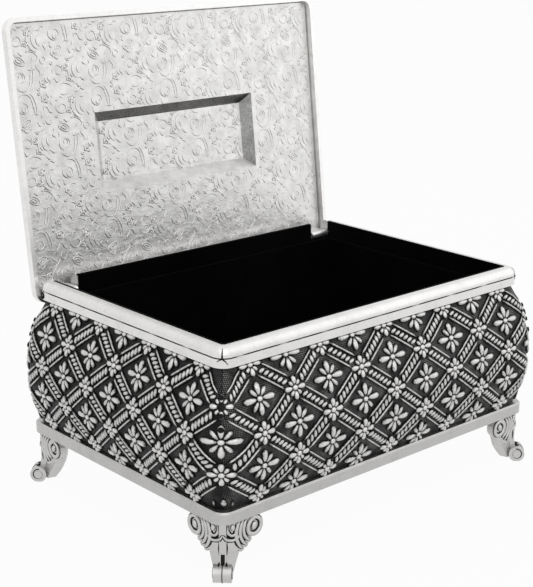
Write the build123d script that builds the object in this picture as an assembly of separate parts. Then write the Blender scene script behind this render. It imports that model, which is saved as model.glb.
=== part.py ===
from build123d import *
import math
import os

# Wedding coin box: a footed metal casket with a hinged lid, shown with the lid open.
# Millimetres. X runs along the long side, the lid is hinged on the +Y side, Z is up.
# Every section below is drawn as (outward, height): outward is the distance beyond the
# rim's outer line, so the same corner axis serves the rim, the walls and the base band.

# Plan of the rim
case_length = 130.0
case_width = 92.2
corner_radius = 4.2

# Heights, from the floor up
foot_height = 17.8
base_height = 3.7
wall_height = 42.0
rim_height = 5.95

# Base band
base_overhang = 3.1
base_corner_radius = 4.5
base_ledge = 10.0
base_bevel = 0.5

# Bellied walls
wall_thickness = 1.8
wall_chords = 10
sill_outset = 1.6
wall_belly = 5.4
belly_height = 19.0
neck_inset = 1.9

# Rim rails
rail_width = 4.1
rail_band_height = 2.6
rail_groove = 0.35
rail_groove_slope = 0.1
rail_shoulder_inset = 0.96
rail_shoulder_drop = 0.75
rail_ridge_inset = 3.2
rail_lip_drop = 0.2
rail_lip_step = 0.15

# Bottom plate and velvet-covered lining boards
plate_thickness = 1.2
plate_clearance = 0.15
board_thickness = 1.2
board_inset = 3.9
board_headroom = 0.4
floor_board_thickness = 1.6

# Lid
lid_front_inset = 1.8
lid_depth = 3.2
flange_thickness = 1.4
lid_edge_round = 0.8
lid_edge_chords = 4
lid_front_gap = 0.1
panel_thickness = 0.6
panel_clearance = 0.05
retainer_thickness = 0.35
retainer_width = 1.0
plaque_length = 68.0
plaque_width = 26.4
plaque_depth = 3.2
plaque_slope = 3.3

# Hinge: two pins through the rear ends of the side rails into lugs under the lid
open_angle = 96.5
axis_inset = 3.6
axis_above_wall = 1.45
lid_seat_above_axis = 4.38
pin_radius = 0.65
pin_press_clearance = 0.02
pin_running_clearance = 0.07
pin_end_recess = 0.8
lug_width = 7.9
lug_radius = 1.25
lug_back_reach = 0.8
lug_step = 0.3
lug_rise = 0.9
lug_side_gap = 0.4
pin_blind_gap = 0.6

# Feet
foot_inset = 0.7
wing_length = 15.2
wing_thickness = 2.6
wing_web_depth = 9.4
volute_radius = 3.3
volute_margin = 0.12
scroll_sides = 20
rib_end_sides = 8
volute_overlap = 1.0
rib_start = 3.1
rib_pitch = 1.6
rib_width = 0.9
rib_relief = 0.5
rib_end_radius = 1.05
rib_end_angle = -107.0
rib_end_turn = -7.0
leg_shares = (1.0, 0.45, 0.33, 0.2, 0.08)
leg_outward = (0.0, 0.0, 0.3, 0.9, 1.2)
leg_half_width = (5.6, 4.6, 4.1, 3.4, 2.85)
leg_back = (3.0, 3.0, 3.2, 3.2, 2.4)
ridge_width = 2.1
ridge_shares = (1.0, 0.45, 0.33, 0.2)
ridge_outward = (0.6, 0.6, 0.95, 1.7)
ridge_root = 1.5
slot_width = 1.2
slot_depth = 0.7
toe_radius = 2.7
toe_reach = 1.6
toe_width = 5.4
toe_flat = 0.15
toe_boss = 0.25
screw_radius = 1.1
screw_head_radius = 2.1
screw_head_height = 1.0
screw_head_bevel = 0.3
screw_clearance = 0.2
screw_fit = 0.05
screw_sinking = 1.3
screw_length = 6.4
screw_tip_gap = 0.5
screw_place = 4.6

# Levels worked out from the heights
base_top = foot_height + base_height
wall_top = base_top + wall_height
rim_top = wall_top + rim_height
plate_top = base_top + plate_thickness
half_length = case_length / 2
half_width = case_width / 2
axis_y = half_width - axis_inset
axis_z = wall_top + axis_above_wall
lid_seat = axis_z + lid_seat_above_axis
lid_width = case_width - lid_front_inset
lid_shift = lid_front_inset / 2


def corner_strip(section, straight, reach, start_arc=45, end_arc=45):
    """Run a section along the front side, with part of a turn round the corner at each end."""
    start = Plane(origin=(-straight / 2, -reach, 0), x_dir=(0, -1, 0), z_dir=(-1, 0, 0))
    face = start * section
    strip = extrude(face, amount=straight, dir=(1, 0, 0))
    left_axis = Axis((-straight / 2, -reach, 0), (0, 0, -1))
    right_axis = Axis((straight / 2, -reach, 0), (0, 0, 1))
    left_turn = revolve(face, left_axis, revolution_arc=start_arc)
    right_turn = revolve(Pos(straight, 0, 0) * face, right_axis, revolution_arc=end_arc)
    return strip + left_turn + right_turn


def on_side(section, side, start_arc=45, end_arc=45, width=case_width):
    """Place a section on one side of the box, or of the lid: front, right, back or left."""
    turns = {"front": 0, "right": 90, "back": 180, "left": 270}
    long_side = side in ("front", "back")
    run = (half_length if long_side else width / 2) - corner_radius
    reach = (width / 2 if long_side else half_length) - corner_radius
    return Rot(0, 0, turns[side]) * corner_strip(section, 2 * run, reach, start_arc, end_arc)


def section_face(edges):
    """Close a chain of edges, drawn outward from the rim line, into a section face."""
    return Pos(corner_radius, 0, 0) * make_face(Wire(edges))


def polyline_edges(points):
    return [Line(a, b) for a, b in zip(points, points[1:])]


def wall_section():
    """Bellied wall: from the sill, out to the belly and in to the neck, in short chords.

    The hidden inner face has half as many chords as the outer one.
    """
    belly = ThreePointArc(
        (sill_outset, base_top), (wall_belly, base_top + belly_height), (-neck_inset, wall_top)
    )
    stations = [belly @ (count / wall_chords) for count in range(wall_chords + 1)]
    outer = [(spot.X, spot.Y) for spot in stations]
    inner = [(out - wall_thickness, level) for out, level in reversed(outer[::2])]
    return section_face(polyline_edges(outer + inner + outer[:1]))


def rail_section():
    """Rim rail: an upright band, a fine groove, then a rounded shoulder up to the inner lip."""
    band_top = wall_top + rail_band_height
    groove_top = band_top + rail_groove
    lower = polyline_edges([
        (-rail_width, wall_top),
        (0, wall_top),
        (0, band_top),
        (-rail_groove, band_top + rail_groove_slope),
        (-rail_groove / 2, groove_top),
    ])
    shoulder = ThreePointArc(
        (-rail_groove / 2, groove_top),
        (-rail_shoulder_inset, rim_top - rail_shoulder_drop),
        (-rail_ridge_inset, rim_top),
    )
    upper = polyline_edges([
        (-rail_ridge_inset, rim_top),
        (-rail_ridge_inset - rail_lip_step, rim_top - rail_lip_drop),
        (-rail_width, rim_top - rail_lip_drop),
        (-rail_width, wall_top),
    ])
    return section_face(lower + [shoulder] + upper)


def flange_section():
    """Lid edge in the closed position: an upright flange with a thin retainer over the panel."""
    top = lid_seat + lid_depth
    lower = [
        (0, top - lid_edge_round),
        (0, lid_seat),
        (-flange_thickness, lid_seat),
        (-flange_thickness, top - retainer_thickness),
        (-flange_thickness - retainer_width, top - retainer_thickness),
        (-flange_thickness - retainer_width, top),
        (-lid_edge_round, top),
    ]
    rounding = []
    for count in range(1, lid_edge_chords + 1):
        angle = math.radians(90 * (1 - count / lid_edge_chords))
        out = lid_edge_round * (math.cos(angle) - 1)
        rounding.append((out, top + lid_edge_round * (math.sin(angle) - 1)))
    return section_face(polyline_edges(lower + rounding))


def rounded_block(outward, low, high, inner_offset=None, width=case_width, radius=None):
    """A slab with the box's plan, moved out by outward, and an optional opening within it."""
    corner = corner_radius + outward if radius is None else radius
    plan = RectangleRounded(case_length + 2 * outward, width + 2 * outward, corner)
    if inner_offset is not None:
        plan -= Rectangle(case_length - 2 * inner_offset, case_width - 2 * inner_offset)
    return Pos(0, 0, low) * extrude(plan, amount=high - low)


# Name of each corner, its signs along X and Y, and the turn from the front left corner
corners = (
    ("front_left", -1, -1, 0),
    ("front_right", 1, -1, 90),
    ("back_right", 1, 1, 180),
    ("back_left", -1, 1, 270),
)


# Foot, drawn with the square corner of its two wings at the origin and the box at +X +Y
wing_corner_radius = corner_radius + base_overhang - foot_inset
leg_origin = wing_corner_radius * (1 - math.sqrt(0.5))
leg_section_plane = Plane(origin=(leg_origin, leg_origin, 0), x_dir=(-1, -1, 0), z_dir=(0, 0, 1))
leg_side_plane = Plane(origin=(leg_origin, leg_origin, 0), x_dir=(-1, -1, 0), z_dir=(-1, 1, 0))


def wing_envelope(outward):
    """Upright block with the rounded corner that the wings share, grown by outward."""
    size = 4 * wing_length
    plan = RectangleRounded(size, size, wing_corner_radius + outward)
    middle = size / 2 - outward
    return extrude(Pos(middle, middle, 0) * plan, amount=foot_height)


def rib_end(count):
    """Where a rib meets the lower edge of the wing; the ribs are arcs about the volute."""
    radius = rib_start + count * rib_pitch - rib_width / 2
    angle = math.radians(rib_end_angle + count * rib_end_turn)
    along = wing_length - volute_radius + radius * math.cos(angle)
    return along, foot_height - volute_radius + radius * math.sin(angle)


def scroll_disc(radius, sides=scroll_sides):
    """Round of a small scroll, drawn with many short sides."""
    return RegularPolygon(radius, sides)


def wing_outline():
    """Side view of a wing: web, outer volute and the stepped ends of the ribs."""
    top = foot_height
    volute_along = wing_length - volute_radius
    web = Polygon(
        (0, top),
        (0, top - wing_web_depth),
        rib_end(3),
        rib_end(2),
        rib_end(1),
        (volute_along + volute_overlap, top - volute_radius),
        (volute_along, top),
        align=None,
    )
    outline = web + Pos(volute_along, top - volute_radius) * scroll_disc(volute_radius)
    for count in (1, 2, 3):
        outline += Pos(*rib_end(count)) * scroll_disc(rib_end_radius, rib_end_sides)
    return outline


def volute(radius):
    """End scroll: a raised turn round a sunk middle."""
    return scroll_disc(radius) - scroll_disc(radius - rib_width)


def wing_relief():
    """Raised ring of the volute, on the flat of a wing."""
    centre = Pos(wing_length - volute_radius, foot_height - volute_radius)
    return centre * volute(volute_radius - volute_margin)


def wing():
    """One wing of a foot, with its outer face on the XZ plane."""
    face = Plane(origin=(0, 0, 0), x_dir=(1, 0, 0), z_dir=(0, -1, 0))
    web = extrude(face * wing_outline(), amount=-wing_thickness) & wing_envelope(0)
    inner_face = Plane(origin=(0, wing_thickness / 2, 0), x_dir=(1, 0, 0), z_dir=(0, -1, 0))
    return web + extrude(inner_face * wing_relief(), amount=wing_thickness / 2 + rib_relief)


def leg():
    """Leg: wedge sections lofted down the corner and outward to the rolled toe."""
    sections = []
    for share, outward, half, back in zip(leg_shares, leg_outward, leg_half_width, leg_back):
        wedge = Polygon(
            (outward, 0),
            (outward - half, half),
            (outward - half - back, half / 2),
            (outward - half - back, -half / 2),
            (outward - half, -half),
            align=None,
        )
        sections.append(Pos(0, 0, share * foot_height) * (leg_section_plane * wedge))
    return loft(sections, ruled=True)


def toe():
    """Rolled toe: a level scroll across the corner, with a boss on each end."""
    centre = leg_side_plane * Pos(toe_reach, toe_radius - toe_flat)
    roll = extrude(centre * Circle(toe_radius), amount=toe_width / 2, both=True)
    boss = extrude(centre * scroll_disc(toe_radius / 2), amount=toe_width / 2 + toe_boss, both=True)
    return roll + boss


def ridge():
    """Strip down the corner of the leg, with a slot sunk in it above the toe."""
    front = [(out, share * foot_height) for out, share in zip(ridge_outward, ridge_shares)]
    root = [(-ridge_root, front[-1][1]), (-ridge_root, front[0][1])]
    strip = extrude(leg_side_plane * Polygon(*front, *root, align=None), amount=ridge_width / 2, both=True)
    sunk = [(out - slot_depth, level) for out, level in front[1:]]
    clear = [(out + slot_depth, level) for out, level in reversed(front[1:])]
    slot = extrude(leg_side_plane * Polygon(*sunk, *clear, align=None), amount=slot_width / 2, both=True)
    return strip - slot


def foot():
    front_wing = wing()
    side_wing = mirror(front_wing, about=Plane(origin=(0, 0, 0), x_dir=(1, 1, 0), z_dir=(1, -1, 0)))
    body = front_wing + side_wing + leg() + ridge() + toe()
    body = body & Pos(0, 0, foot_height / 2) * Box(4 * wing_length, 4 * wing_length, foot_height)
    hole_depth = screw_length - screw_head_height - (base_height - screw_sinking) + screw_tip_gap
    hole = Pos(screw_place, screw_place, foot_height - hole_depth / 2)
    return body - hole * Cylinder(screw_radius, hole_depth)


foot_corner_x = half_length + base_overhang - foot_inset
foot_corner_y = half_width + base_overhang - foot_inset
screw_x = foot_corner_x - screw_place
screw_y = foot_corner_y - screw_place


def base_band():
    """Base ring: a plain band with a bevelled upper edge, bored and sunk for the foot screws."""
    ring = rounded_block(base_overhang, foot_height, base_top, base_ledge, radius=base_corner_radius)
    upper_edges = ring.faces().sort_by(Axis.Z)[-1].outer_wire().edges()
    ring = chamfer(upper_edges, base_bevel)
    for _, sign_x, sign_y, _ in corners:
        place = Pos(sign_x * screw_x, sign_y * screw_y, 0)
        ring -= place * Pos(0, 0, foot_height + base_height / 2) * Cylinder(screw_radius, base_height)
        head = Pos(0, 0, base_top - screw_sinking / 2) * Cylinder(
            screw_head_radius + screw_clearance, screw_sinking
        )
        ring -= place * head
    return ring


def foot_screw(sign_x, sign_y):
    """Flat-topped screw, head down in the band's sinking, shank in the foot."""
    head_seat = base_top - screw_sinking
    head = Pos(0, 0, head_seat + screw_head_height / 2) * Cylinder(screw_head_radius, screw_head_height)
    head = chamfer(head.edges().group_by(Axis.Z)[-1], screw_head_bevel)
    shank_length = screw_length - screw_head_height
    shank = Pos(0, 0, head_seat - shank_length / 2) * Cylinder(screw_radius - screw_fit, shank_length)
    return Pos(sign_x * screw_x, sign_y * screw_y, 0) * (head + shank)


def bottom_plate():
    inset = wall_thickness - sill_outset + plate_clearance
    return rounded_block(-inset, base_top, plate_top)


def lining_board(side):
    """Upright velvet-covered board; the two long ones run the full length."""
    long_side = side in ("front", "back")
    low = plate_top
    high = wall_top - board_headroom
    depth_out = (half_width if long_side else half_length) - board_inset
    across = (half_length if long_side else half_width) - board_inset
    if not long_side:
        across -= board_thickness
    size = (2 * across, board_thickness) if long_side else (board_thickness, 2 * across)
    sign = -1 if side in ("front", "left") else 1
    middle = sign * (depth_out - board_thickness / 2)
    centre = (0, middle) if long_side else (middle, 0)
    return Pos(centre[0], centre[1], (low + high) / 2) * Box(size[0], size[1], high - low)


def lining_floor():
    inset = board_inset + board_thickness
    board = Box(case_length - 2 * inset, case_width - 2 * inset, floor_board_thickness)
    return Pos(0, 0, plate_top + floor_board_thickness / 2) * board


# Hinge stations along X, measured inward from the side rails
lug_outer = half_length - corner_radius - lug_side_gap
lug_inner = lug_outer - lug_width
notch_inner = lug_inner - lug_side_gap


def pin_bore(sign_x, radius):
    """Bore along the hinge axis through one side rail and its lug."""
    start = lug_inner - 2 * lug_side_gap
    length = half_length + lug_side_gap - start
    middle = sign_x * (start + length / 2)
    return Pos(middle, axis_y, axis_z) * Cylinder(radius, length, rotation=(0, 90, 0))


def side_rail(side):
    """Side rail: mitred at the front, and carried round the rear corner, where the pin sits."""
    front_arc, rear_arc = 45, 90
    arcs = (front_arc, rear_arc) if side == "right" else (rear_arc, front_arc)
    rail = on_side(rail_section(), side, *arcs)
    sign_x = 1 if side == "right" else -1
    return rail - pin_bore(sign_x, pin_radius + pin_press_clearance)


def back_rail():
    """Back rail: straight, between the two hinge notches."""
    plane = Plane(
        origin=(notch_inner, half_width - corner_radius, 0), x_dir=(0, 1, 0), z_dir=(1, 0, 0)
    )
    return extrude(plane * rail_section(), amount=-2 * notch_inner)


def hinge_pin(sign_x):
    inner = lug_inner + pin_blind_gap
    outer = half_length - pin_end_recess
    middle = sign_x * (inner + outer) / 2
    return Pos(middle, axis_y, axis_z) * Cylinder(pin_radius, outer - inner, rotation=(0, 90, 0))


def hinge_lug(sign_x):
    """Lug in the closed position: an eye round the pin and a web up to the lid's back flange."""
    plane = Plane(origin=(0, axis_y, axis_z), x_dir=(0, 1, 0), z_dir=(1, 0, 0))
    inner_roof = lid_seat_above_axis + lid_depth - retainer_thickness - panel_thickness
    back_wall = axis_inset - flange_thickness
    web = Polygon(
        (-lug_radius, 0),
        (lug_back_reach, 0),
        (lug_back_reach, lid_seat_above_axis + lug_step),
        (back_wall, lid_seat_above_axis + lug_rise),
        (back_wall, inner_roof),
        (-lug_radius, inner_roof),
        align=None,
    )
    eye = Circle(lug_radius)
    shape = extrude(plane * (web + eye), amount=lug_width)
    shape = Pos(lug_inner, 0, 0) * shape
    shape -= pin_bore(1, pin_radius + pin_running_clearance)
    return shape if sign_x > 0 else mirror(shape, about=Plane.YZ)


def lid_frame():
    """Cast lid edge, mitre-free, with its two hinge lugs; drawn closed."""
    frame = on_side(flange_section(), "front", width=lid_width)
    for side in ("right", "back", "left"):
        frame += on_side(flange_section(), side, width=lid_width)
    frame = Pos(0, lid_shift, 0) * frame
    # The front edge stands over the rail's ridge, so its foot is cut back to clear it
    cut_depth = 2 * lid_shift + corner_radius
    cut_height = rim_top + lid_front_gap - lid_seat
    cut = Pos(0, -half_width + cut_depth / 2, lid_seat + cut_height / 2)
    frame -= cut * Box(case_length + 2 * flange_thickness, cut_depth, cut_height)
    return frame + hinge_lug(1) + hinge_lug(-1)


def plaque(grow, low, high):
    """Sloping-sided block for the raised plaque; grow offsets its walls."""
    foot_plan = Rectangle(plaque_length + 2 * grow, plaque_width + 2 * grow)
    slope = 2 * (plaque_slope - grow)
    top_plan = Rectangle(plaque_length - slope, plaque_width - slope)
    return loft([Pos(0, 0, low) * foot_plan, Pos(0, 0, high) * top_plan])


def lid_panel():
    """Pressed lid panel, closed: a thin plate with a raised plaque, hollow on the inside."""
    top = lid_seat + lid_depth - retainer_thickness
    bottom = top - panel_thickness
    plate = rounded_block(-flange_thickness - panel_clearance, bottom, top, width=lid_width)
    raised = plaque(panel_thickness, top, top + plaque_depth)
    hollow = plaque(0, bottom, top + plaque_depth - panel_thickness)
    return Pos(0, lid_shift, 0) * (plate + raised - hollow)


def opened(piece):
    """Swing a closed lid piece back to the open rest position."""
    axis = Axis((0, axis_y, axis_z), (1, 0, 0))
    return piece.rotate(axis, -open_angle)


parts = {"base_band": base_band(), "bottom_plate": bottom_plate()}

one_foot = foot()
for name, sign_x, sign_y, turn in corners:
    place = Pos(sign_x * foot_corner_x, sign_y * foot_corner_y, 0)
    parts[f"foot_{name}"] = place * Rot(0, 0, turn) * one_foot
parts["foot_screws"] = Compound([foot_screw(sx, sy) for _, sx, sy, _ in corners])

for side in ("front", "right", "back", "left"):
    parts[f"wall_{side}"] = on_side(wall_section(), side)
    parts[f"lining_{side}"] = lining_board(side)
parts["lining_floor"] = lining_floor()

parts["rim_front"] = on_side(rail_section(), "front")
parts["rim_left"] = side_rail("left")
parts["rim_right"] = side_rail("right")
parts["rim_back"] = back_rail()
parts["hinge_pin_left"] = hinge_pin(-1)
parts["hinge_pin_right"] = hinge_pin(1)

parts["lid_frame"] = opened(lid_frame())
parts["lid_panel"] = opened(lid_panel())

# The origin is the middle of the open box's footprint, on the floor
span = Compound([piece for piece in parts.values()]).bounding_box()
shift_y = -(span.min.Y + span.max.Y) / 2

os.makedirs("parts", exist_ok=True)
for name, piece in parts.items():
    export_step(Pos(0, shift_y, 0) * piece, f"parts/{name}.step")

print("shift_y", round(shift_y, 4))
print("hinge axis y, z", round(axis_y + shift_y, 4), round(axis_z, 4))
print("span", span.size, "top", round(span.max.Z, 3))
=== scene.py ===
import math

import bmesh
import bpy
from mathutils import Matrix, Vector


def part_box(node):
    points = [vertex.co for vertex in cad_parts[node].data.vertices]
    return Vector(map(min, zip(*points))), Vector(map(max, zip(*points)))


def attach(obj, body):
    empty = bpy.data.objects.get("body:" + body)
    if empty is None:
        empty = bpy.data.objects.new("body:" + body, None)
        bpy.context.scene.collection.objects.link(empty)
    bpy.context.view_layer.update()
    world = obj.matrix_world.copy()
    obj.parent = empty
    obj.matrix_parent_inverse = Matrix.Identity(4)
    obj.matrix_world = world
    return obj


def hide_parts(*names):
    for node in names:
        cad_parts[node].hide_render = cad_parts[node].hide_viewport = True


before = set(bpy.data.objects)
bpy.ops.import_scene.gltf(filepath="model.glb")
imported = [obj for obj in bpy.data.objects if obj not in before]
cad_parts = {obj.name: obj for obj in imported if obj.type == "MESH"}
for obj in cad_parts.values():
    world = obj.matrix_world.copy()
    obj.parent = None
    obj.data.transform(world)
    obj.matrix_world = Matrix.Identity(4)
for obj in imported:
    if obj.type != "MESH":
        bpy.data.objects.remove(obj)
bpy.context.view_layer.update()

# One millimetre in the scene's metres; all sizes below are millimetres unless they say otherwise
MM = 0.001

# Sizes of the box, as in the part's source
CENTRE_Y = -4.125
HALF_LENGTH = 65.0
HALF_WIDTH = 46.1
CORNER = 4.2
FOOT_TOP = 17.8
BASE_TOP = 21.5

# The wall's arc: its centre (out from the rim line, up from the base band), radius, start and length
ARC_OUT = -38.16
ARC_UP = 17.83
ARC_RADIUS = 43.58
ARC_START = math.radians(-24.15)
ARC_LENGTH = 43.99

# Length of the wall's pattern from the end of its straight run to the middle of the corner
CORNER_RUN = 6.75

# Lattice on the walls: its rows up the arc, the span its flowers are drawn for, and how proud it stands
ROWS = (3.0, 12.9, 22.8, 32.7, 42.6)
DRAWN_SPAN = 27.02
RELIEF_HEIGHT = 0.95
EDGE_LOW = 0.05
EDGE_HIGH = ARC_LENGTH - 0.15

# High up the back wall the relief is lower, so that the open lid's edge goes clear of it
LOWER_ABOVE = 38
LOWER_SHARE = 0.45

# Ropes: slanted beads and their pitch, thin rails beside them, and how far both end short of the crossings
BEAD_SIZE = (1.42, 0.74, 0.88)
BEAD_SLANT = math.radians(56)
BEAD_PITCH = 1.62
BEADS_SHORT = 6.6
RAIL_SIZE = (0.36, 0.8)
RAIL_OFFSET = 1.95
RAILS_SHORT = 5.6

# Hatching of the ground, radians per metre, and the level of the rim's groove
HATCH = 6300
GROOVE_LEVEL = 66.27

# Lid: hinge axis, the panel's two faces while closed, half the sunk rectangle's length and width, its
# depth and the run of its slopes, and how far the lid's middle lies behind the box's
AXIS_Y = 38.375
AXIS_Z = 64.95
OPEN_TURN = math.radians(-96.5)
PANEL_INSIDE = 71.58
PANEL_OUTSIDE = 72.18
PLAQUE = (34.0, 13.2)
PLAQUE_DEPTH = 3.2
PLAQUE_SLOPE = 3.3
LID_SHIFT = 0.9

# Lid pattern: its tile, how far it reaches, the painted shadow line round it, and the thickness of its
# lines and of the painted shadow lines
TILE_LENGTH = 14.1
TILE_WIDTH = 22.0
TILE_SQUASH = 0.93
PATTERN_EDGE = (62.4, 42.6)
FRAME_EDGE = (63.3, 43.5)
LINE = 0.24
DARK_LINE = 0.165
FRAME_LINE = 0.26

# Feet: their outer corners, the corner's rounding, the volute's centre along a wing and up, the point of
# the rounded corner on its diagonal, and the toe's roll: its centre, its face and half its width
FOOT_X = 67.4
FOOT_Y = 48.5
FOOT_CORNER = 6.6
VOLUTE = (11.9, 14.5)
LEG_CORNER = 1.933
DIAGONAL = math.sqrt(0.5)
TOE_OUT = 1.6
TOE_UP = 2.55
TOE_FACE = 2.68
TOE_HALF_WIDTH = 2.68

# Thickness of a foot's raised lines, and of the wider dark line under each
SCROLL_LINE = 0.64
DROP_LINE = 0.5
SCROLL_SHADE = 0.94
DROP_SHADE = 0.78

# Camera, fitted to the photograph's straight edges: degrees, metres, and millimetres for its aim
AZIMUTH = -42.4232
ELEVATION = 18.186
ROLL = 0.3351
DISTANCE = 0.4561
AIM_LEVEL = 50.3
LENS = 84.41
SHIFT_X = -0.0286
SHIFT_Y = 0.0596


# Materials

def new_material(name, metallic, roughness):
    """A material with its nodes, its surface and the object's own coordinates."""
    material = bpy.data.materials.new(name)
    material.use_nodes = True
    tree = material.node_tree
    surface = tree.nodes["Principled BSDF"]
    surface.inputs["Metallic"].default_value = metallic
    surface.inputs["Roughness"].default_value = roughness
    coords = tree.nodes.new("ShaderNodeTexCoord").outputs["Object"]
    return material, tree, surface, coords


def noise(tree, coords, scale, detail=3.0):
    """Soft random grey, from 0 to 1, mostly near the middle."""
    texture = tree.nodes.new("ShaderNodeTexNoise")
    texture.inputs["Scale"].default_value = scale
    texture.inputs["Detail"].default_value = detail
    tree.links.new(coords, texture.inputs["Vector"])
    return texture.outputs[0]


def mapped(tree, value, low, high, from_low=0.3, from_high=0.7):
    """Stretch a value from one range to another, and keep it inside."""
    node = tree.nodes.new("ShaderNodeMapRange")
    node.inputs["From Min"].default_value = from_low
    node.inputs["From Max"].default_value = from_high
    node.inputs["To Min"].default_value = low
    node.inputs["To Max"].default_value = high
    tree.links.new(value, node.inputs["Value"])
    return node.outputs["Result"]


def maths(tree, kind, first, second=None):
    """One calculation; each term is a number or another node's result."""
    node = tree.nodes.new("ShaderNodeMath")
    node.operation = kind
    for socket, value in zip(node.inputs, (first, second)):
        if value is None:
            continue
        if isinstance(value, (int, float)):
            socket.default_value = value
        else:
            tree.links.new(value, socket)
    return node.outputs[0]


def greys(tree, value, stops):
    """Colour ramp of warm greys; each stop is (place, grey level)."""
    node = tree.nodes.new("ShaderNodeValToRGB")
    ramp = node.color_ramp
    while len(ramp.elements) < len(stops):
        ramp.elements.new(0.5)
    for element, (place, level) in zip(ramp.elements, stops):
        element.position = place
        element.color = (level, level * 0.992, level * 0.98, 1)
    tree.links.new(value, node.inputs["Fac"])
    return node.outputs["Color"]


def bumped(tree, surface, height, strength, distance):
    """Fine unevenness that is too small for the mesh."""
    node = tree.nodes.new("ShaderNodeBump")
    node.inputs["Strength"].default_value = strength
    node.inputs["Distance"].default_value = distance
    tree.links.new(height, node.inputs["Height"])
    tree.links.new(node.outputs["Normal"], surface.inputs["Normal"])


def plated(name, level, roughness, grain=2600, depth=0.00003):
    """Worn silver plate: cloudy patches, a fine grain and a roughness that wanders."""
    material, tree, surface, coords = new_material(name, 1.0, roughness)
    cloud = noise(tree, coords, 150, 5)
    spots = noise(tree, coords, 900, 2)
    tone = maths(tree, "ADD", maths(tree, "MULTIPLY", spots, 0.4), maths(tree, "MULTIPLY", cloud, 0.6))
    colour = greys(tree, tone, [(0.25, level * 0.86), (0.5, level), (0.75, level * 1.05)])
    tree.links.new(colour, surface.inputs["Base Color"])
    rough = mapped(tree, noise(tree, coords, 420, 4), roughness - 0.06, roughness + 0.08)
    tree.links.new(rough, surface.inputs["Roughness"])
    bumped(tree, surface, noise(tree, coords, grain, 3), 0.35, depth)
    return material


def antique(name, stops, roughness=0.34):
    """Relief rubbed bright on top and left dark low down, by the height kept with each point."""
    material, tree, surface, coords = new_material(name, 1.0, roughness)
    height = tree.nodes.new("ShaderNodeAttribute")
    height.attribute_name = "height"
    broken = mapped(tree, noise(tree, coords, 1400, 4), -0.14, 0.14)
    level = maths(tree, "ADD", height.outputs["Fac"], broken)
    tree.links.new(greys(tree, level, stops), surface.inputs["Base Color"])
    rough = mapped(tree, level, 0.62, roughness, 0.1, 0.6)
    tree.links.new(rough, surface.inputs["Roughness"])
    bumped(tree, surface, noise(tree, coords, 3200, 3), 0.4, 0.00003)
    return material


def hatched_ground(name, axis, low, high):
    """Dark sunk ground of a wall, tooled with fine crossing lines; axis runs along the wall, and low and
    high set how light it is painted.
    """
    material, tree, surface, coords = new_material(name, 1.0, 0.5)
    axes = tree.nodes.new("ShaderNodeSeparateXYZ")
    tree.links.new(coords, axes.inputs[0])
    lines = []
    for kind in ("ADD", "SUBTRACT"):
        slanted = maths(tree, kind, axes.outputs[axis], axes.outputs["Z"])
        lines.append(maths(tree, "SINE", maths(tree, "MULTIPLY", slanted, HATCH)))
    hatch = maths(tree, "MULTIPLY", lines[0], lines[1])
    # Random wear, scaled from low to high; that range is painted light and shade, lighter on the long sides
    # than on the short ones
    wear_and_painted_light = mapped(tree, noise(tree, coords, 230, 4), low, high, 0.36, 0.66)
    level = maths(tree, "MULTIPLY", mapped(tree, hatch, 0.2, 1.0, -0.3, 0.8), wear_and_painted_light)
    colour = greys(tree, level, [(0.0, 0.010), (0.3, 0.035), (0.65, 0.13), (1.0, 0.32)])
    tree.links.new(colour, surface.inputs["Base Color"])
    bumped(tree, surface, hatch, 0.5, 0.00007)
    return material


def pressed_panel():
    """Thin pressed plate: soft ripples, and painted shade on the slopes that face down and inward."""
    material, tree, surface, coords = new_material("pressed silver", 1.0, 0.36)
    source = tree.nodes.new("ShaderNodeTexCoord")
    # Painted shade: how far each surface faces down the open lid or to the left
    facing = []
    up_lid = Vector((0, -math.cos(OPEN_TURN), -math.sin(OPEN_TURN)))
    for way in (-up_lid, Vector((-1, 0, 0))):
        dot = tree.nodes.new("ShaderNodeVectorMath")
        dot.operation = "DOT_PRODUCT"
        dot.inputs[1].default_value = way
        tree.links.new(source.outputs["Normal"], dot.inputs[0])
        facing.append(mapped(tree, dot.outputs["Value"], 0, 1, 0.45, 0.6))
    shaded = maths(tree, "MAXIMUM", facing[0], facing[1])
    # Noise that breaks up the painted shade
    rubbed = mapped(tree, noise(tree, coords, 1500, 4), 0.55, 1.0)
    cloud = mapped(tree, noise(tree, coords, 240, 6), 0.9, 1.04)
    bare = maths(tree, "MULTIPLY", cloud, 0.77)
    # Painted shade: the shaded slopes, broken up by noise, darken the bare plate
    dark = maths(tree, "MULTIPLY", maths(tree, "MULTIPLY", shaded, rubbed), 0.36)
    tone = maths(tree, "SUBTRACT", bare, dark)
    colour = greys(tree, tone, [(0.0, 0.03), (0.32, 0.15), (0.6, 0.45), (0.85, 0.86)])
    tree.links.new(colour, surface.inputs["Base Color"])
    coarse = noise(tree, coords, 420, 4)
    fine = maths(tree, "MULTIPLY", noise(tree, coords, 1700, 2), 0.4)
    bumped(tree, surface, maths(tree, "ADD", coarse, fine), 0.6, 0.00024)
    return material


def velvet():
    """Black pile that throws back almost no light, with a faint sheen."""
    material, tree, surface, coords = new_material("black velvet", 0.0, 1.0)
    pile = noise(tree, coords, 2600, 4)
    brushed = noise(tree, coords, 70, 3)
    tone = maths(tree, "MULTIPLY", pile, brushed)
    tree.links.new(greys(tree, tone, [(0.1, 0.0008), (0.45, 0.004)]), surface.inputs["Base Color"])
    surface.inputs["Specular IOR Level"].default_value = 0.02
    surface.inputs["Sheen Weight"].default_value = 0.05
    surface.inputs["Sheen Roughness"].default_value = 0.35
    bumped(tree, surface, pile, 0.6, 0.0002)
    return material


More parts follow.
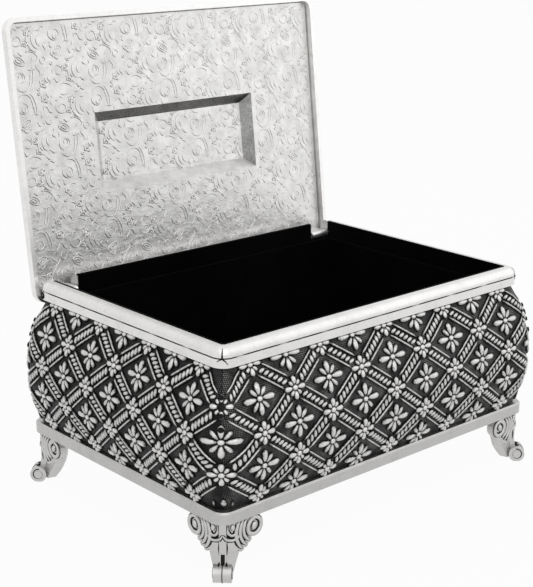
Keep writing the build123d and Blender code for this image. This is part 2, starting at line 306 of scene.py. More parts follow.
rim_silver = plated("rim silver", 0.76, 0.36)
lid_silver = plated("lid edge silver", 0.84, 0.36)
band_silver = plated("base band silver", 0.50, 0.38, grain=1500, depth=0.00006)
foot_silver = plated("cast foot silver", 0.54, 0.4, grain=1100, depth=0.00008)
steel = plated("hinge steel", 0.32, 0.35)
sheet = plated("bottom sheet", 0.42, 0.45)
# Near-black finish for crevices: the wall corners' seams, the mitres' cracks and patina in the feet's
# creases, and painted shade in the feet's slots, beside their ridges and round the pins' ends
crevice, crevice_tree, crevice_surface, crevice_coords = new_material("crevice patina and shade", 0.0, 0.85)
crevice_tree.links.new(
    greys(crevice_tree, noise(crevice_tree, crevice_coords, 1200, 3), [(0.35, 0.004), (0.7, 0.022)]),
    crevice_surface.inputs["Base Color"],
)
crevice_surface.inputs["Specular IOR Level"].default_value = 0.2

# Grey levels from the foot of a relief to its top
wall_greys = [(0.12, 0.010), (0.4, 0.05), (0.58, 0.34), (0.78, 0.56), (1.0, 0.68)]
foot_greys = [(0.0, 0.05), (0.25, 0.16), (0.5, 0.46), (1.0, 0.56)]
lid_greys = [(0.0, 0.45), (0.35, 0.62), (0.7, 0.8), (1.0, 0.88)]
wall_relief_finish = antique("rubbed relief", wall_greys)
foot_relief_finish = antique("rubbed foot relief", foot_greys, 0.38)
lid_line_finish = antique("pressed line", lid_greys)
# Painted shadow: dark finish for the lines beside the lid's raised lines and round the pattern's edge
painted_line_shadow = plated("painted line shadow", 0.22, 0.5)
# The same ground on all four walls, painted lighter on the long sides and darker on the short ones: painted
# light and shade
long_ground_painted_lighter = hatched_ground("hatched ground, long sides, painted lighter", "X", 0.35, 0.92)
short_ground_painted_darker = hatched_ground("hatched ground, short sides, painted darker", "Y", 0.15, 0.62)
panel_silver = pressed_panel()
black_velvet = velvet()

node_finish = {
    "base_band": band_silver, "bottom_plate": sheet, "foot_screws": steel,
    "hinge_pin_left": steel, "hinge_pin_right": steel,
    "lid_frame": lid_silver, "lid_panel": panel_silver,
}
for corner in ("front_left", "front_right", "back_right", "back_left"):
    node_finish["foot_" + corner] = foot_silver
for side in ("front", "right", "back", "left"):
    node_finish["wall_" + side] = long_ground_painted_lighter if side in ("front", "back") else short_ground_painted_darker
    node_finish["rim_" + side] = rim_silver
for name, finish in node_finish.items():
    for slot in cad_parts[name].material_slots:
        slot.material = finish


# Making pieces

def finished(bm, name, material, body):
    """Turn a bmesh in millimetres into a piece that rides on a body."""
    bmesh.ops.scale(bm, vec=(MM, MM, MM), verts=bm.verts)
    mesh = bpy.data.meshes.new(name)
    bm.to_mesh(mesh)
    bm.free()
    mesh.materials.append(material)
    mesh.polygons.foreach_set("use_smooth", [True] * len(mesh.polygons))
    piece = bpy.data.objects.new(name, mesh)
    bpy.context.scene.collection.objects.link(piece)
    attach(piece, body)
    return piece


def stamp(bm, mesh, place):
    """Copy a template mesh into bm at a place."""
    before = len(bm.verts)
    bm.from_mesh(mesh)
    bm.verts.ensure_lookup_table()
    bmesh.ops.transform(bm, matrix=place, verts=bm.verts[before:])


def template(bm):
    """Keep a bmesh as a mesh that can be copied into others."""
    mesh = bpy.data.meshes.new("template")
    bm.to_mesh(mesh)
    bm.free()
    return mesh


def at(along, up, turn=0.0, size=(1.0, 1.0, 1.0), proud=0.0):
    """Place on the flat pattern: a spot, a turn in radians, three sizes and a height."""
    return (
        Matrix.Translation((along, up, proud))
        @ Matrix.Rotation(turn, 4, "Z")
        @ Matrix.Diagonal((*size, 1))
    )


def bead_template(inner, outer):
    """Oval bead, its poles along X, scaled in width by inner and outer towards its two ends."""
    bm = bmesh.new()
    poles = Matrix.Rotation(math.pi / 2, 4, "Y")
    bmesh.ops.create_uvsphere(bm, u_segments=9, v_segments=6, radius=1, matrix=poles)
    for vert in bm.verts:
        vert.co.y *= 1 + (outer if vert.co.x > 0 else inner) * abs(vert.co.x)
    return template(bm)


def bar_template():
    """Thin round bar of unit length along X, cut so that it can bend."""
    bm = bmesh.new()
    lying = Matrix.Rotation(math.pi / 2, 4, "Y")
    bmesh.ops.create_cone(bm, cap_ends=True, segments=6, radius1=1, radius2=1, depth=1, matrix=lying)
    long_edges = [e for e in bm.edges if abs(e.verts[0].co.x - e.verts[1].co.x) > 0.5]
    bmesh.ops.subdivide_edges(bm, edges=long_edges, cuts=5, use_grid_fill=True)
    for vert in bm.verts:
        if abs(vert.co.x) > 0.49:
            vert.co.y *= 0.4
            vert.co.z *= 0.4
    return template(bm)


bead = bead_template(0.0, 0.0)
petal_shape = bead_template(-0.3, 0.35)
bar = bar_template()


def petal(bm, turn, inner, outer, half_width, height):
    """One petal, from its inner end to its outer end."""
    middle = (inner + outer) / 2
    place = at(0, 0, turn) @ at(middle, 0, size=((outer - inner) / 2, half_width, height))
    stamp(bm, petal_shape, place)


def flower_template(long_across, long_up, short, width, short_width, centre, height):
    """Flower of four long petals, four short ones and a domed centre."""
    bm = bmesh.new()
    for turn, reach in ((0, long_across), (90, long_up), (180, long_across), (270, long_up)):
        petal(bm, math.radians(turn), centre * 0.75, reach, width, height)
    for turn in (47, 133, 227, 313):
        petal(bm, math.radians(turn), centre * 0.75, short, short_width, height * 0.88)
    stamp(bm, bead, at(0, 0, size=(centre * 1.1, centre, height * 1.12)))
    return template(bm)


field_flower = flower_template(6.1, 5.1, 4.5, 1.08, 0.78, 1.0, 1.0)
crossing_flower = flower_template(4.2, 3.7, 3.0, 0.95, 0.7, 1.0, 1.05)


def rope(bm, start, end):
    """Slanted beads between two thin rails, from one crossing to the next."""
    span = Vector(end) - Vector(start)
    turn = math.atan2(span.y, span.x)
    middle = (Vector(start) + Vector(end)) / 2
    clear = span.length - BEADS_SHORT
    count = max(3, round(clear / BEAD_PITCH))
    for step in range(count):
        share = (step + 0.5) / count - 0.5
        spot = middle + span.normalized() * share * clear
        stamp(bm, bead, at(spot.x, spot.y, turn + BEAD_SLANT, BEAD_SIZE))
    across = Vector((-math.sin(turn), math.cos(turn)))
    for sign in (-1, 1):
        spot = middle + across * sign * RAIL_OFFSET
        stamp(bm, bar, at(spot.x, spot.y, turn, (span.length - RAILS_SHORT, *RAIL_SIZE)))


# Each side: half its straight run, reach of the corner centres, turn about Z, lattice pitches
sides = {
    "front": (HALF_LENGTH - CORNER, HALF_WIDTH - CORNER, 0, 5),
    "right": (HALF_WIDTH - CORNER, HALF_LENGTH - CORNER, 90, 4),
    "back": (HALF_LENGTH - CORNER, HALF_WIDTH - CORNER, 180, 5),
    "left": (HALF_WIDTH - CORNER, HALF_LENGTH - CORNER, 270, 4),
}


def around(side, along, swing, out, level):
    """Point of a side: along its straight run, then swung round its corner, out from the rim line."""
    straight, reach, turn, _ = sides[side]
    x = math.copysign(min(abs(along), straight) + (CORNER + out) * math.sin(swing), along)
    y = -(reach + (CORNER + out) * math.cos(swing))
    point = Matrix.Rotation(math.radians(turn), 3, "Z") @ Vector((x, y, level))
    return point + Vector((0, CENTRE_Y, 0))


def on_wall(side, along, up, proud):
    """Point of a side's bellied wall: along it, up its arc and proud of it."""
    angle = ARC_START + up / ARC_RADIUS
    out = ARC_OUT + (ARC_RADIUS + proud) * math.cos(angle)
    level = BASE_TOP + ARC_UP + (ARC_RADIUS + proud) * math.sin(angle)
    beyond = max(abs(along) - sides[side][0], 0)
    return around(side, along, math.radians(45) * beyond / CORNER_RUN, out, level)


def on_rail(side, along, out, level):
    """Point of a side's rim rail."""
    beyond = max(abs(along) - sides[side][0], 0)
    return around(side, along, beyond / CORNER, out, level)


def keep_height(bm, full):
    """Store each point's height above its ground, as a share, for the finish."""
    layer = bm.verts.layers.float.new("height")
    for vert in bm.verts:
        vert[layer] = min(max(vert.co.z / full, 0), 1)


def trimmed(bm, low, high):
    """Cut the flat pattern off at its lower and upper edge, and close the cuts."""
    for level, way in ((low, -1), (high, 1)):
        geometry = bm.verts[:] + bm.edges[:] + bm.faces[:]
        bmesh.ops.bisect_plane(
            bm, geom=geometry, dist=1e-5, plane_co=(0, level, 0), plane_no=(0, way, 0), clear_outer=True
        )
        open_edges = [edge for edge in bm.edges if edge.is_boundary]
        bmesh.ops.holes_fill(bm, edges=open_edges, sides=0)


# Three small dabs at the foot of each corner: shift along the wall, height up the arc, and size
corner_dabs = (
    (0.5, 2.9, (1.25, 1.7, 0.8)),
    (-3.1, 2.6, (0.6, 1.3, 0.6)),
    (3.6, 2.5, (0.6, 1.3, 0.6)),
)


def wall_relief(side):
    """One wall's lattice: flowers and ropes on the flat, then bent over the belly and round the corners."""
    straight, _, _, pitches = sides[side]
    half = straight + CORNER_RUN
    step = half / pitches
    shape = 2 * step / DRAWN_SPAN
    bm = bmesh.new()
    for row, up in enumerate(ROWS):
        for station in range(2 * pitches + 1):
            along = station * step - half
            crossing = (station % 2 == 1) == (row % 2 == 0)
            last = station == 2 * pitches
            plain_corner = station == 0 and row in (0, 4)
            if crossing and not last:
                stamp(bm, crossing_flower, at(along, up, size=(shape, 1, 1)))
            elif not last and not crossing and not plain_corner:
                stamp(bm, field_flower, at(along, up, size=(shape, 1, 1)))
            if crossing and row < 4:
                for side_step in (-1, 1):
                    if 0 <= station + side_step <= 2 * pitches:
                        rope(bm, (along, up), (along + side_step * step, ROWS[row + 1]))
    for shift, up, size in corner_dabs:
        stamp(bm, bead, at(shift - half, up, size=size))
    trimmed(bm, EDGE_LOW, EDGE_HIGH)
    if side == "back":
        for vert in bm.verts:
            if vert.co.y > LOWER_ABOVE:
                vert.co.z *= LOWER_SHARE
    keep_height(bm, RELIEF_HEIGHT)
    for vert in bm.verts:
        vert.co = on_wall(side, *vert.co)
    finished(bm, "wall_relief_" + side, wall_relief_finish, "box")


for side in sides:
    wall_relief(side)


# Drawn lines: strokes on the flat, made round and thin

def wire(bm, runs, thickness, resolution=1):
    """Runs of (points, closed, radii) become round wires in bm."""
    curve = bpy.data.curves.new("wire", "CURVE")
    curve.dimensions = "3D"
    curve.bevel_depth = thickness
    curve.bevel_resolution = resolution
    curve.use_fill_caps = True
    for points, closed, radii in runs:
        spline = curve.splines.new("POLY")
        spline.points.add(len(points) - 1)
        for spot, radius, point in zip(points, radii, spline.points):
            point.co = (*spot, 1)
            point.radius = radius
        spline.use_cyclic_u = closed
    holder = bpy.data.objects.new("wire", curve)
    mesh = bpy.data.meshes.new_from_object(holder)
    bpy.data.objects.remove(holder)
    bm.from_mesh(mesh)


def drawn(bm, strokes, thickness, resolution=1, fade=None):
    """Strokes of (points, closed) on the flat become wires, thinner at their open ends."""
    runs = []
    for points, closed in strokes:
        last = len(points) - 1
        radii = [
            1 if closed else min(1, 0.45 + 0.2 * min(index, last - index))
            for index in range(last + 1)
        ]
        if fade:
            radii = [radius * fade(*spot) for radius, spot in zip(radii, points)]
        runs.append(([(*spot, 0) for spot in points], closed, radii))
    wire(bm, runs, thickness, resolution)


def wave(x, y, to_x, to_y, swing, turns=1.0, count=9):
    """Wavy stroke from one point to another; swing is how far it leaves the straight line."""
    along = Vector((to_x - x, to_y - y))
    across = Vector((-along.y, along.x)).normalized()
    points = []
    for index in range(count + 1):
        share = index / count
        spot = Vector((x, y)) + along * share + across * swing * math.sin(2 * math.pi * turns * share)
        points.append((spot.x, spot.y))
    return points, False


def spiral(x, y, outer, inner, start, turns, count=22):
    """Points of a scroll that winds in from its outer end; angles in degrees."""
    points = []
    for index in range(count + 1):
        share = index / count
        radius = outer + (inner - outer) * share
        angle = math.radians(start + 360 * turns * share)
        points.append((x + radius * math.cos(angle), y + radius * math.sin(angle)))
    return points, False


def bow(x, y, across, up, start, end, tilt=0.0, count=12):
    """Part of an oval, tilted by some degrees; a whole oval is closed."""
    lean = math.radians(tilt)
    points = []
    for index in range(count + 1):
        angle = math.radians(start + (end - start) * index / count)
        px, py = across * math.cos(angle), up * math.sin(angle)
        points.append((
            x + px * math.cos(lean) - py * math.sin(lean),
            y + px * math.sin(lean) + py * math.cos(lean),
        ))
    return points, abs(end - start) >= 360


def blossom(x, y, size, petals):
    """Outline of a small flower, with its centre ring."""
    points = []
    for index in range(petals * 3):
        angle = 2 * math.pi * index / (petals * 3)
        radius = size * (1 + 0.24 * math.cos(petals * angle))
        points.append((x + radius * math.cos(angle), y + radius * math.sin(angle)))
    return [(points, True), bow(x, y, size * 0.36, size * 0.36, 0, 360, count=6)]


def garden():
    """The lid's ground pattern in one tile: scrolls, leaves, ovals, tendrils and small flowers."""
    strokes = [
        spiral(-4.0, 6.9, 2.5, 1.5, 110, 0.95, 14),
        bow(-3.9, 6.4, 0.75, 1.1, 150, 400, 0, 9),
        bow(-3.3, 8.0, 2.9, 3.4, -40, 150, 8, 11),
        bow(-0.9, 7.3, 1.6, 4.2, -75, 80, 10, 11),
        bow(-1.1, 7.1, 0.8, 2.9, -60, 70, 10, 8),
        wave(3.1, 6.9, 2.6, 2.6, 0.5, 0.9),
        wave(3.7, 6.5, 6.6, 4.1, 0.4, 1.0),
        wave(6.4, 9.9, 6.5, 6.9, 0.45, 1.0, 7),
        wave(-6.6, 4.4, -5.4, 2.4, 0.35, 1.0, 7),
        bow(-3.9, 1.2, 2.3, 1.25, 0, 360, 32, 14),
        bow(-3.9, 1.2, 1.3, 0.55, 0, 360, 32, 8),
        wave(-5.6, -1.2, -2.0, -0.9, 0.55, 1.5),
        bow(1.0, -0.2, 2.3, 1.25, 190, 400, 28, 10),
        wave(0.2, 1.4, 1.7, 0.1, 0.3, 1.0, 6),
        spiral(5.0, 1.4, 1.5, 0.6, 90, 0.95, 10),
        bow(3.4, -5.7, 3.7, 4.6, 108, 258, -8, 12),
        bow(4.5, -5.5, 3.1, 3.6, 118, 250, -8, 10),
        bow(5.4, -5.2, 2.2, 2.4, 125, 240, -8, 8),
        wave(5.7, -1.3, 6.3, -4.6, 0.5, 1.2),
        spiral(-4.0, -5.6, 2.3, 1.0, 200, -1.0, 13),
        wave(-6.3, -8.3, -3.6, -9.3, 0.5, 1.2, 8),
        bow(-1.6, -11.1, 2.2, 1.1, 20, 190, -20, 9),
        wave(1.6, -10.9, 5.2, -11.3, 0.6, 1.3),
        wave(3.4, -8.6, 6.3, -9.4, 0.4, 1.0, 7),
        wave(-1.0, 3.9, 1.6, 4.7, 0.4, 1.0, 7),
        wave(-1.2, -1.9, 0.9, -2.2, 0.4, 1.2, 7),
        bow(-6.2, -2.8, 0.5, 0.5, 0, 360, 0, 7),
        bow(2.2, 11.1, 0.5, 0.5, 0, 360, 0, 7),
    ]
    return strokes + blossom(4.3, 9.3, 1.35, 5) + blossom(-1.2, -4.6, 1.1, 5) + blossom(0.1, -8.2, 1.15, 5)


def lid_point(x, y, level):
    """A point given on the closed lid, swung to the open rest."""
    swing = Matrix.Rotation(OPEN_TURN, 3, "X")
    arm = Vector((x, y - AXIS_Y, level - AXIS_Z))
    return swing @ arm + Vector((0, AXIS_Y, AXIS_Z))


def plaque_level(x, y, grow):
    """Depth of the sunk rectangle under a point of the lid, from 0 on the plate."""
    edge = min(PLAQUE[0] + grow - abs(x), PLAQUE[1] + grow - abs(y))
    return PLAQUE_DEPTH * min(max(edge / PLAQUE_SLOPE, 0), 1)


def on_the_flat(points, closed):
    """The parts of a stroke that lie on the plate, not past its edge or on the sunk rectangle's slopes."""
    flat = [
        abs(x) < PATTERN_EDGE[0] and abs(y) < PATTERN_EDGE[1] and plaque_level(x, y, 0) in (0, PLAQUE_DEPTH)
        for x, y in points
    ]
    if all(flat):
        return [(points, closed)]
    parts = [[]]
    for spot, keep in zip(points, flat):
        if keep:
            parts[-1].append(spot)
        elif parts[-1]:
            parts.append([])
    return [(part, False) for part in parts if len(part) > 3]


def lid_strokes():
    """The pattern's strokes over the whole panel, cut off at its edge and at the slopes."""
    strokes = []
    for column in range(-4, 5):
        for row in range(-2, 2):
            flip = -1 if (column + row) % 2 else 1
            for points, closed in garden():
                moved = [
                    (px + column * TILE_LENGTH, flip * py * TILE_SQUASH + (row + 0.5) * TILE_WIDTH)
                    for px, py in points
                ]
                strokes += on_the_flat(moved, closed)
    return strokes


def on_panel(bm, level, grow, sign, rise, sink):
    """Lay flat strokes on one face of the lid panel; sign is -1 inside and 1 outside."""
    for vert in bm.verts:
        x, y, proud = vert.co
        height = level + plaque_level(x, y, grow) + sign * (proud * rise - sink)
        vert.co = lid_point(x, y + CENTRE_Y + LID_SHIFT, height)
    if sign < 0:
        bmesh.ops.reverse_faces(bm, faces=bm.faces)


def softer_to_the_right(x, _):
    """The pattern's painted shadow lines are strongest at the left end of the lid."""
    return 1.0 - 0.8 * min(max((x + 48) / 85, 0), 1)


pattern = lid_strokes()
# Painted shadow lines: the pattern's strokes again, shifted a little sideways
beside = [([(px - 0.22, py + 0.14) for px, py in points], closed) for points, closed in pattern]
corners = ((-1, -1), (1, -1), (1, 1), (-1, 1))
# Painted shadow line round the pattern's edge
frame_shadow_line = [(right * FRAME_EDGE[0], up * FRAME_EDGE[1]) for right, up in corners]
lid_faces = (
    ("inside", PANEL_INSIDE, 0.0, -1, softer_to_the_right),
    ("outside", PANEL_OUTSIDE, 0.6, 1, None),
)
for face, level, grow, sign, fade in lid_faces:
    lines = bmesh.new()
    drawn(lines, pattern, LINE, 0)
    keep_height(lines, LINE)
    on_panel(lines, level, grow, sign, 1.0, 0.03)
    finished(lines, "lid_lines_" + face, lid_line_finish, "lid")
    # Painted shadow: the shifted strokes, thinner and flatter, fading to the right on the inside, and the
    # line round the pattern, in a dark finish
    edges = bmesh.new()
    drawn(edges, beside, DARK_LINE, 0, fade)
    drawn(edges, [(frame_shadow_line, True)], FRAME_LINE, 0)
    on_panel(edges, level, grow, sign, 0.5, 0.03)
    finished(edges, "lid_line_shadows_" + face, painted_line_shadow, "lid")


# Feet: scroll lines on both wings of each foot

def on_foot(along, level, proud):
    """Point on a foot's outer face: straight along the wing, then round the corner."""
    if along >= FOOT_CORNER:
        return Vector((along, -proud, level))
    swing = (FOOT_CORNER - along) / FOOT_CORNER
    radius = FOOT_CORNER + proud
    return Vector((FOOT_CORNER - radius * math.sin(swing), FOOT_CORNER - radius * math.cos(swing), level))


def rib_stroke(top_radius, end_radius, top_angle, end_angle):
    """Curved rib round the volute; angles in degrees."""
    points = []
    for index in range(13):
        share = index / 12
        radius = top_radius + (end_radius - top_radius) * share
        angle = math.radians(top_angle + (end_angle - top_angle) * share)
        points.append((VOLUTE[0] + radius * math.cos(angle), VOLUTE[1] + radius * math.sin(angle)))
    return points, False


def on_leg(out, level, across=0.0):
    """Point on a foot: out from its corner face, up, and across the corner."""
    return Vector((LEG_CORNER - (out - across) * DIAGONAL, LEG_CORNER - (out + across) * DIAGONAL, level))


foot_scrolls = [
    spiral(VOLUTE[0], VOLUTE[1], 2.7, 2.25, 120, -1.1, 22),
    rib_stroke(4.05, 4.25, 133, 246),
    rib_stroke(5.1, 5.85, 141, 240),
    rib_stroke(6.2, 7.35, 149, 233),
]
drop_round = bow(4.2, 15.2, 1.35, 1.6, 180, 360, 0, 8)[0]
foot_drops = [
    ([(2.85, 17.4), (2.85, 15.5)] + drop_round + [(5.55, 17.4)], False),
    bow(4.1, 15.0, 2.75, 2.9, 200, 335, 0, 12),
]

# Painted shade beside the slot and beside the leg's ridge: out, level and across
toe_shade_marks = ((1.0, 5.7, 1.0), (2.0, 5.0, 1.2), (2.9, 4.6, 1.0))
ridge_shade = ((-0.05, 11.4, 1.2), (0.0, 9.6, 1.2), (0.0, 7.6, 1.15))


def on_both_wings(bm):
    """Lay flat strokes on the outer faces of a foot's two wings."""
    flat = template(bm)
    both = bmesh.new()
    for mirrored in (True, False):
        wing = bmesh.new()
        wing.from_mesh(flat)
        for vert in wing.verts:
            lift = 0.6 * min(max((2.9 - vert.co.x) / 0.5, 0), 1)
            vert.co = on_foot(vert.co.x, vert.co.y, vert.co.z + lift)
            if mirrored:
                vert.co.x, vert.co.y = vert.co.y, vert.co.x
        if mirrored:
            bmesh.ops.reverse_faces(wing, faces=wing.faces)
        both.from_mesh(template(wing))
    return both


def foot_lines(corner, sign_x, sign_y, turn):
    """Raised scrolls on one foot, and the dark lines beside them and on its leg and toe: patina and painted
    shade.
    """
    spot = Matrix.Translation((sign_x * FOOT_X, sign_y * FOOT_Y + CENTRE_Y, 0))
    place = spot @ Matrix.Rotation(math.radians(turn), 4, "Z")

    raised = bmesh.new()
    drawn(raised, foot_scrolls, SCROLL_LINE)
    drawn(raised, foot_drops, DROP_LINE)
    stamp(raised, bead, at(VOLUTE[0] - 0.1, VOLUTE[1] + 0.1, 1.2, (1.35, 1.0, 0.85)))
    stamp(raised, bead, at(4.2, 16.1, math.radians(-90), (1.15, 0.72, 0.8)))
    for vert in raised.verts:
        flat = min(max((vert.co.x - 5.5) / 2.0, 0), 1)
        vert.co.z = vert.co.z * 0.9 + 0.12 + 0.08 * flat
    trimmed(raised, 0, FOOT_TOP - 0.02)
    keep_height(raised, 0.62)
    raised = on_both_wings(raised)
    bmesh.ops.transform(raised, matrix=place, verts=raised.verts)
    finished(raised, "foot_scrolls_" + corner, foot_relief_finish, "box")

    # Dark lines a little wider than the raised ones, under them: patina and painted shade in the creases
    # along them
    dark = bmesh.new()
    drawn(dark, foot_scrolls, SCROLL_SHADE)
    drawn(dark, foot_drops, DROP_SHADE)
    for vert in dark.verts:
        vert.co.z = vert.co.z * 0.12 + 0.06
    trimmed(dark, 0, FOOT_TOP - 0.02)
    dark = on_both_wings(dark)
    # Painted shadow: a dark wire down the leg's slot
    slot = [on_leg(0.08, 7.9), on_leg(0.42, 5.9), on_leg(1.6, 4.78), on_leg(2.6, 4.5)]
    toe_turn = [math.radians(100 - 15 * step) for step in range(12)]
    notch = [on_leg(TOE_OUT + TOE_FACE * math.cos(a), TOE_UP + TOE_FACE * math.sin(a)) for a in toe_turn]
    notch = [spot for spot in notch if spot.z > 0.12]
    wire(dark, [(slot, False, (1, 1, 1, 0.9))], 0.64)
    wire(dark, [(notch, False, [1] * len(notch))], 0.17)
    for sign in (-1, 1):
        curl = spiral(TOE_OUT, TOE_UP, 2.0, 0.95, 100, -1.05, 14)[0]
        curl = [on_leg(out, level, sign * TOE_HALF_WIDTH) for out, level in curl]
        wire(dark, [(curl, False, [1] * len(curl))], 0.2)
        # Painted shade beside the slot and beside the ridge
        mark = [on_leg(out, level, sign * across) for out, level, across in toe_shade_marks]
        wire(dark, [(mark, False, (0.5, 1.3, 0.5))], 0.34)
        shade = [on_leg(out, level, sign * across) for out, level, across in ridge_shade]
        wire(dark, [(shade, False, (0.4, 1.2, 0.3))], 0.22)
    bmesh.ops.transform(dark, matrix=place, verts=dark.verts)
    finished(dark, "foot_patina_and_shade_" + corner, crevice, "box")


feet = (
    ("front_left", -1, -1, 0),
    ("front_right", 1, -1, 90),
    ("back_right", 1, 1, 180),
    ("back_left", -1, 1, 270),
)
for foot in feet:
    foot_lines(*foot)


# Seams: wall corners, the rim's groove and front mitres, and painted shade in the pins' recesses

def seam(name, runs, thickness):
    """A piece of dark lines on the box."""
    bm = bmesh.new()
    wire(bm, runs, thickness)
    finished(bm, name, crevice, "box")


# A fine line up each corner, and dark dabs where its flowers meet
for side in sides:
    half = sides[side][0] + CORNER_RUN
    line = [on_wall(side, -half, ARC_LENGTH * index / 16, 0.0) for index in range(17)]
    bm = bmesh.new()
    wire(bm, [(line, False, [1] * 17)], 0.13)
    for up, size in ((ROWS[3], 1.15), (ROWS[3] + 2.5, 0.8), (ROWS[3] - 2.5, 0.8), (ROWS[2] + 3.6, 0.85)):
        dab = at(-half, up, size=(size, size, 0.3), proud=0.98)
        first = len(bm.verts)
        stamp(bm, bead, dab)
        bm.verts.ensure_lookup_table()
        for vert in bm.verts[first:]:
            vert.co = on_wall(side, *vert.co)
    finished(bm, "corner_seam_" + side, crevice, "box")

# The fine groove round the rails, darker in some places than in others
for side in ("front", "left", "right"):
    reach = sides[side][0] + 0.75 * CORNER
    stations = [reach * (index / 40 - 1) for index in range(81)]
    line = [on_rail(side, along, -0.2, GROOVE_LEVEL) for along in stations]
    depth = [0.6 + 0.6 * math.sin(along * 0.57) * math.sin(along * 0.21 + 1.3) for along in stations]
    seam("rim_groove_" + side, [(line, False, depth)], 0.15)


def on_corner(sign, turn, out, level):
    """Point on the rail at a front corner, turned from its diagonal."""
    angle = math.radians(-90 + sign * 45 + turn)
    radius = CORNER + out
    x = sign * (HALF_LENGTH - CORNER) + radius * math.cos(angle)
    return Vector((x, CORNER - HALF_WIDTH + CENTRE_Y + radius * math.sin(angle), level))


# The mitre's crack, out from the rim line and level, and its fork below, turn and level
crack_line = ((-1.35, 69.0), (-0.9, 68.6), (-0.5, 67.9), (-0.3, 67.1), (-0.12, 66.35))
fork_lines = (((0, 66.3), (-11, 65.95), (-22, 65.3)), ((0, 66.3), (12, 65.6), (23, 64.5)))
for name, sign in (("left", -1), ("right", 1)):
    crack = [on_corner(sign, 0, out, level) for out, level in crack_line]
    runs = [(crack, False, (0.3, 0.8, 1.3, 1.6, 1.4))]
    for line in fork_lines:
        runs.append(([on_corner(sign, turn, 0, level) for turn, level in line], False, (1.3, 1, 0.4)))
    seam("rim_mitre_" + name, runs, 0.2)

# Painted shade: a dark ring round each pin's end, in the gap round the pin
for name, sign in (("left", -1), ("right", 1)):
    ring = []
    for step in range(12):
        angle = 2 * math.pi * step / 12
        swing = (AXIS_Y + 0.45 + 0.5 * math.cos(angle), AXIS_Z + math.sin(angle))
        ring.append((sign * (HALF_LENGTH + 0.02), *swing))
    seam("pin_gap_shade_" + name, [(ring, True, [1] * 12)], 0.24)


# Velvet-covered boards, and the velvet turned up over the rails

def velvet_board(node, crown_axis, crown_sign):
    """Velvet-covered board in place of a lining node, slightly crowned on the face that shows."""
    low, high = (Vector(corner) * 1000 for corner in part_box(node))
    size = high - low
    middle = (low + high) / 2
    bm = bmesh.new()
    bmesh.ops.create_cube(bm, size=1, matrix=Matrix.Translation(middle) @ Matrix.Diagonal((*size, 1)))
    bmesh.ops.bevel(
        bm, geom=bm.edges[:], offset=0.4, offset_type="OFFSET", segments=3, profile=0.5,
        affect="EDGES", material=-1,
    )
    broad = [edge for edge in bm.edges if edge.calc_length() > 5]
    bmesh.ops.subdivide_edges(bm, edges=broad, cuts=14, use_grid_fill=True)
    for vert in bm.verts:
        away = (vert.co - middle)[crown_axis] * crown_sign
        if away > size[crown_axis] * 0.3:
            share = 1.0
            for axis in range(3):
                if axis != crown_axis:
                    share *= 1 - min(abs(vert.co[axis] - middle[axis]) / (size[axis] / 2), 1) ** 4
            ripple = math.sin(vert.co.x * 0.31) * math.sin(vert.co.y * 0.23 + vert.co.z * 0.19)
            vert.co[crown_axis] += crown_sign * share * (0.14 + 0.06 * ripple)
    piece = finished(bm, "velvet_" + node.split("_")[1], black_velvet, "box")
    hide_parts(node)


def velvet_collar():
    """Velvet turned up over the rails' inner faces, and over the back rail between the lugs."""
    face_foot = (-4.05, 63.0)
    face_top = (-4.05, 69.2)
    low_turn = (face_foot, face_top, (-3.42, 69.2), (-3.42, 69.36), (-4.4, 69.36), (-4.4, 63.0))
    back_turn = (face_foot, face_top, (-2.9, 69.3), (-2.9, 69.56), (-4.4, 69.56), (-4.4, 63.0))
    between_lugs = 51.9
    whole = bmesh.new()
    for side in sides:
        straight, _, turn, _ = sides[side]
        half_run = between_lugs if side == "back" else straight + CORNER - 4.1
        turn_up = back_turn if side == "back" else low_turn
        bm = bmesh.new()
        section = [bm.verts.new((-half_run, out, level)) for out, level in turn_up]
        face = bm.faces.new(section)
        moved = bmesh.ops.extrude_face_region(bm, geom=[face])["geom"]
        far = [item for item in moved if isinstance(item, bmesh.types.BMVert)]
        bmesh.ops.translate(bm, vec=(2 * half_run, 0, 0), verts=far)
        bmesh.ops.recalc_face_normals(bm, faces=bm.faces)
        bmesh.ops.bevel(
            bm, geom=bm.edges[:], offset=0.05, offset_type="OFFSET", segments=2, profile=0.5,
            affect="EDGES", material=-1,
        )
        for vert in bm.verts:
            along, out, level = vert.co
            nearest = math.copysign(straight, along)
            vert.co = around(side, nearest, 0, out, level)
            vert.co += Matrix.Rotation(math.radians(turn), 3, "Z") @ Vector((along - nearest, 0, 0))
        bmesh.ops.recalc_face_normals(bm, faces=bm.faces)
        whole.from_mesh(template(bm))
    finished(whole, "velvet_collar", black_velvet, "box")


velvet_collar()
velvet_board("lining_floor", 2, 1)
velvet_board("lining_front", 1, 1)
velvet_board("lining_back", 1, -1)
velvet_board("lining_left", 0, 1)
velvet_board("lining_right", 0, -1)


# Floor, light and camera

def seen_directly(tree):
    """1 for what the camera, a reflection or glass sees, 0 for light that falls on the object."""
    path = tree.nodes.new("ShaderNodeLightPath").outputs
    looked_at = maths(tree, "MAXIMUM", path["Is Camera Ray"], path["Is Glossy Ray"])
    return maths(tree, "MAXIMUM", looked_at, path["Is Transmission Ray"])


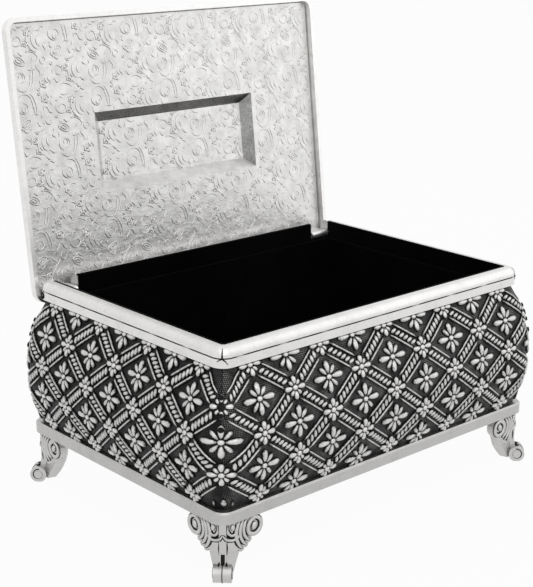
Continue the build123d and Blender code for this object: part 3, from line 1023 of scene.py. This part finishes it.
floor_bm = bmesh.new()
bmesh.ops.create_grid(floor_bm, x_segments=2, y_segments=2, size=3.0)
floor_mesh = bpy.data.meshes.new("floor")
floor_bm.to_mesh(floor_mesh)
floor_bm.free()
floor = bpy.data.objects.new("floor", floor_mesh)
bpy.context.scene.collection.objects.link(floor)
paper = bpy.data.materials.new("white paper")
paper.use_nodes = True
paper_tree = paper.node_tree
paper_surface = paper_tree.nodes["Principled BSDF"]
paper_surface.inputs["Base Color"].default_value = (0.9, 0.9, 0.9, 1)
paper_surface.inputs["Roughness"].default_value = 0.9
paper_surface.inputs["Specular IOR Level"].default_value = 0.0
glow = paper_tree.nodes.new("ShaderNodeEmission")
mix = paper_tree.nodes.new("ShaderNodeMixShader")
share = maths(paper_tree, "MULTIPLY", seen_directly(paper_tree), 0.95)
paper_tree.links.new(share, mix.inputs[0])
paper_tree.links.new(paper_surface.outputs[0], mix.inputs[1])
paper_tree.links.new(glow.outputs[0], mix.inputs[2])
paper_tree.links.new(mix.outputs[0], paper_tree.nodes["Material Output"].inputs["Surface"])
floor_mesh.materials.append(paper)

world = bpy.data.worlds.new("studio")
bpy.context.scene.world = world
world.use_nodes = True
sky = world.node_tree
soft = sky.nodes["Background"]
soft.inputs["Color"].default_value = (0.5, 0.5, 0.5, 1)
backdrop = sky.nodes.new("ShaderNodeBackground")
backdrop.inputs["Color"].default_value = (1, 1, 1, 1)
sky_mix = sky.nodes.new("ShaderNodeMixShader")
sky.links.new(seen_directly(sky), sky_mix.inputs[0])
sky.links.new(soft.outputs[0], sky_mix.inputs[1])
sky.links.new(backdrop.outputs[0], sky_mix.inputs[2])
sky.links.new(sky_mix.outputs[0], sky.nodes["World Output"].inputs["Surface"])


def lamp(name, place, power, size):
    """Square soft light that looks at the box; metres and watts."""
    light = bpy.data.lights.new(name, "AREA")
    light.energy = power
    light.size = size
    holder = bpy.data.objects.new(name, light)
    aim = Vector((0, 0, 0.06)) - Vector(place)
    holder.rotation_euler = aim.to_track_quat("-Z", "Y").to_euler()
    holder.location = place
    bpy.context.scene.collection.objects.link(holder)


lamp("key", (-0.45, -0.75, 0.9), power=4.2, size=1.5)
lamp("fill", (0.95, -0.55, 0.55), power=1.6, size=1.2)

bpy.context.scene.view_settings.view_transform = "Standard"

azimuth = math.radians(AZIMUTH)
elevation = math.radians(ELEVATION)
roll = math.radians(ROLL)
level_back = Vector((math.sin(azimuth), -math.cos(azimuth), 0))
back = level_back * math.cos(elevation) + Vector((0, 0, math.sin(elevation)))
right = Vector((math.cos(azimuth), math.sin(azimuth), 0))
up = back.cross(right)
camera_right = math.cos(roll) * right + math.sin(roll) * up
camera_up = math.cos(roll) * up - math.sin(roll) * right
spot = Vector((0, CENTRE_Y, AIM_LEVEL)) * MM + back * DISTANCE
lens = bpy.data.cameras.new("camera")
lens.lens = LENS
lens.sensor_width = 36
lens.shift_x = SHIFT_X
lens.shift_y = SHIFT_Y
camera = bpy.data.objects.new("camera", lens)
camera.matrix_world = Matrix((
    (camera_right.x, camera_up.x, back.x, spot.x),
    (camera_right.y, camera_up.y, back.y, spot.y),
    (camera_right.z, camera_up.z, back.z, spot.z),
    (0, 0, 0, 1),
))
bpy.context.scene.collection.objects.link(camera)
bpy.context.scene.camera = camera
